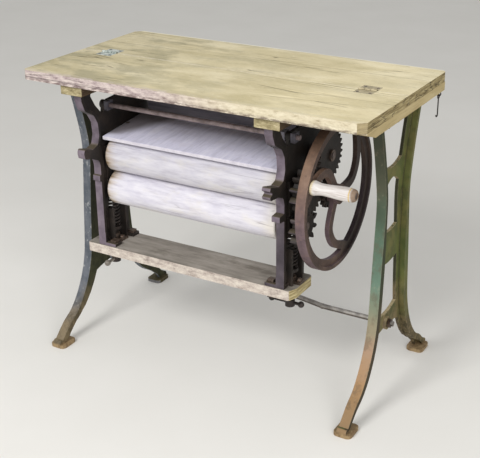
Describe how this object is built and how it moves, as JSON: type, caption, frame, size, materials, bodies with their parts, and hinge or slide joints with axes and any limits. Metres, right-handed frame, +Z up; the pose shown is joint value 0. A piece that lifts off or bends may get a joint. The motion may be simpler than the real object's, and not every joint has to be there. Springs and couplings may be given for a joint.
{
  "type": "laundry wringer",
  "caption": "Folding table mangle: a laundry wringer with wooden rollers, springs, gears and a handwheel under a hinged table top that flips over, on cast-iron legs",
  "frame": {"origin": "On the floor, at the centre of the bounding box's base, midway between the feet", "axes": "X runs along the table towards the handwheel, Y to the rear, Z up"},
  "size_m": [0.9, 0.504, 0.7662],
  "materials": {
    "bleached_table_pine": "sun-bleached, scrubbed and stained",
    "batten_pine": "unfinished",
    "roller_wood": "bleached nearly white",
    "shelf_wood": "weathered",
    "drip_board_wood": "weathered grey",
    "back_board_wood": "dark, painted slate",
    "grip_wood": "worn, with a darker end",
    "green_leg_iron": "worn green paint over cast iron",
    "dark_cast_iron": "dark, worn at the edges",
    "rusty_wheel_iron": "rust brown with worn paint",
    "dull_steel": "dull and rusty",
    "spring_steel": "dark, oiled",
    "rusty_fasteners": "rusty",
    "hinge_steel": "worn bright in places",
    "hook_wire": "blackened"
  },
  "bodies": {
    "table_base": {"rear_board": "bleached_table_pine", "left_bearer": "batten_pine", "right_bearer": "batten_pine", "bearer_screws": "rusty_fasteners", "left_leg_frame": "green_leg_iron", "right_leg_frame": "green_leg_iron", "leg_frame_screws": "rusty_fasteners", "stretcher_rod": "dull_steel", "stretcher_nuts": "rusty_fasteners", "rear_hinge_leaves": "hinge_steel", "hinge_pins": "rusty_fasteners", "rear_hinge_screws": "rusty_fasteners", "latch_eye": "hook_wire"},
    "flip_top": {"front_board": "bleached_table_pine", "front_hinge_leaves": "hinge_steel", "front_hinge_screws": "rusty_fasteners", "left_cleat": "batten_pine", "right_cleat": "batten_pine", "cleat_screws": "rusty_fasteners", "left_side_frame": "dark_cast_iron", "right_side_frame": "dark_cast_iron", "side_frame_bolts": "rusty_fasteners", "tie_rod": "dull_steel", "tie_rod_nuts": "rusty_fasteners", "drip_board": "drip_board_wood", "drip_back_board": "back_board_wood", "drip_board_screws": "rusty_fasteners", "cross_board": "shelf_wood", "cross_board_bolts": "rusty_fasteners", "cross_board_nuts": "rusty_fasteners", "driven_bearing_blocks": "dark_cast_iron", "block_retaining_bolts": "rusty_fasteners", "pressure_screw_nuts": "rusty_fasteners", "nut_flange_bolts": "rusty_fasteners", "idler_stud": "dull_steel", "idler_collar": "rusty_fasteners", "left_spring": "spring_steel", "right_spring": "spring_steel"},
    "hook": {"latch_hook": "hook_wire"},
    "drive_wheel": {"handwheel": "rusty_wheel_iron", "drive_shaft": "dull_steel", "drive_pinion": "dark_cast_iron", "handwheel_nut": "rusty_fasteners", "handle_stud": "dull_steel"},
    "grip": {"handle_grip": "grip_wood"},
    "idler": {"idler_gear": "dark_cast_iron"},
    "driven_roller_body": {"driven_roller": "roller_wood", "driven_roller_shaft": "dull_steel", "driven_cog": "dark_cast_iron", "driven_spur_gear": "dark_cast_iron"},
    "pressure_carriage": {"pressure_bearing_blocks": "dark_cast_iron"},
    "pressure_roller_body": {"pressure_roller": "roller_wood", "pressure_roller_shaft": "dull_steel", "pressure_cog": "dark_cast_iron"},
    "left_seat": {"left_spring_seat": "dull_steel"},
    "left_screw": {"left_pressure_screw": "dull_steel", "left_screw_bar": "dull_steel"},
    "right_seat": {"right_spring_seat": "dull_steel"},
    "right_screw": {"right_pressure_screw": "dull_steel", "right_screw_bar": "dull_steel"}
  },
  "joints": [
    {"name": "top_flip", "type": "hinge", "parent": "table_base", "child": "flip_top", "pos_m": [0, -0.014, 0.7626], "axis": [-1, 0, 0], "range_deg": [0, 180]},
    {"name": "hook_swing", "type": "hinge", "parent": "table_base", "child": "hook", "pos_m": [0.441, 0.204, 0.705], "axis": [1, 0, 0], "range_deg": [-75, 75]},
    {"name": "wheel_spin", "type": "hinge", "parent": "flip_top", "child": "drive_wheel", "pos_m": [0.284, -0.02315, 0.50281], "axis": [1, 0, 0], "continuous": true},
    {"name": "grip_spin", "type": "hinge", "parent": "drive_wheel", "child": "grip", "pos_m": [0.35, -0.17238, 0.57082], "axis": [1, 0, 0], "continuous": true},
    {"name": "idler_spin", "type": "hinge", "parent": "flip_top", "child": "idler", "pos_m": [0.26, -0.02154, 0.59505], "axis": [1, 0, 0], "continuous": true},
    {"name": "driven_roller_spin", "type": "hinge", "parent": "flip_top", "child": "driven_roller_body", "pos_m": [0, -0.114, 0.535], "axis": [1, 0, 0], "continuous": true},
    {"name": "roller_lift", "type": "slide", "parent": "flip_top", "child": "pressure_carriage", "axis": [0, 0, -1], "range_m": [0, 0.01], "stiffness_N_per_m": 8000, "springref_m": -0.02, "deforming": ["left_spring", "right_spring"]},
    {"name": "pressure_roller_spin", "type": "hinge", "parent": "pressure_carriage", "child": "pressure_roller_body", "pos_m": [0, -0.114, 0.446], "axis": [1, 0, 0], "continuous": true},
    {"name": "left_screw_feed", "type": "slide", "parent": "flip_top", "child": "left_seat", "axis": [0, 0, 1], "range_m": [0, 0.012]},
    {"name": "left_screw_turn", "type": "hinge", "parent": "left_seat", "child": "left_screw", "pos_m": [-0.3095, -0.114, 0.28], "axis": [0, 0, 1], "range_deg": [0, 1090]},
    {"name": "right_screw_feed", "type": "slide", "parent": "flip_top", "child": "right_seat", "axis": [0, 0, 1], "range_m": [0, 0.012]},
    {"name": "right_screw_turn", "type": "hinge", "parent": "right_seat", "child": "right_screw", "pos_m": [0.2125, -0.114, 0.28], "axis": [0, 0, 1], "range_deg": [0, 1090]}
  ],
  "couplings": [
    {"joint": "idler_spin", "follows": "wheel_spin", "ratio": -0.57692},
    {"joint": "driven_roller_spin", "follows": "wheel_spin", "ratio": 0.65217},
    {"joint": "pressure_roller_spin", "follows": "wheel_spin", "ratio": -0.65217},
    {"joint": "left_screw_turn", "follows": "left_screw_feed", "rad_per_m": 1570.8},
    {"joint": "right_screw_turn", "follows": "right_screw_feed", "rad_per_m": 1570.8}
  ]
}
